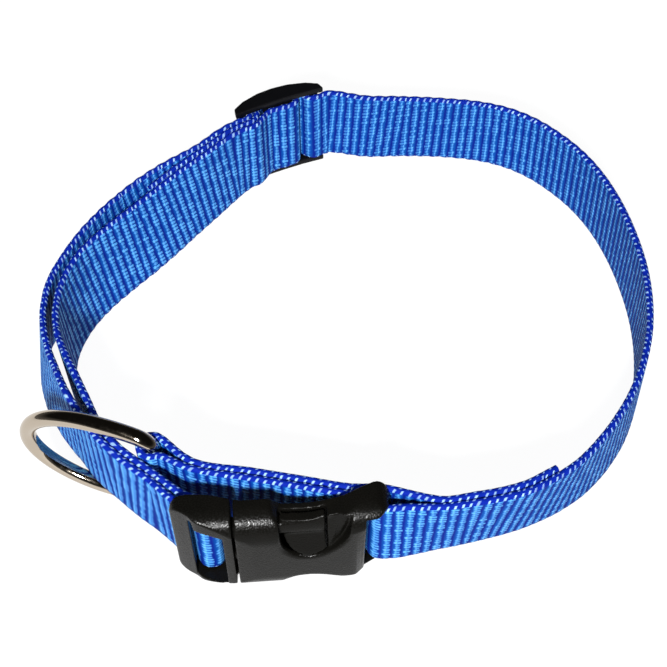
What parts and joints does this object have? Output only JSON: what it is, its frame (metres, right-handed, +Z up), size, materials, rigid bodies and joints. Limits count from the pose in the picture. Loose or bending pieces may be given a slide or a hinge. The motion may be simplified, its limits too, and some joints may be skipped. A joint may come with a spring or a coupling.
{
  "type": "dog collar",
  "caption": "Adjustable webbing dog collar with a side-release buckle, a three-bar slider and a D-ring, fastened and standing on its edge.",
  "frame": {"origin": "middle of the collar's footprint, on the surface it stands on", "axes": "+X along the buckle's side of the loop, from the plug towards the socket; +Y across the loop, from the buckle towards the slider; +Z up, across the webbing's width"},
  "size_m": [0.1324, 0.12, 0.0268],
  "materials": {
    "strap": "ribbed nylon webbing",
    "buckle_plug": "fine-grained moulded",
    "buckle_socket": "fine-grained moulded",
    "slider": "smooth moulded",
    "d_ring": "polished nickel plate"
  },
  "bodies": {
    "root": {"strap": "strap", "buckle_plug": "buckle_plug", "buckle_socket": "buckle_socket", "slider": "slider", "d_ring": "d_ring"}
  },
  "joints": []
}
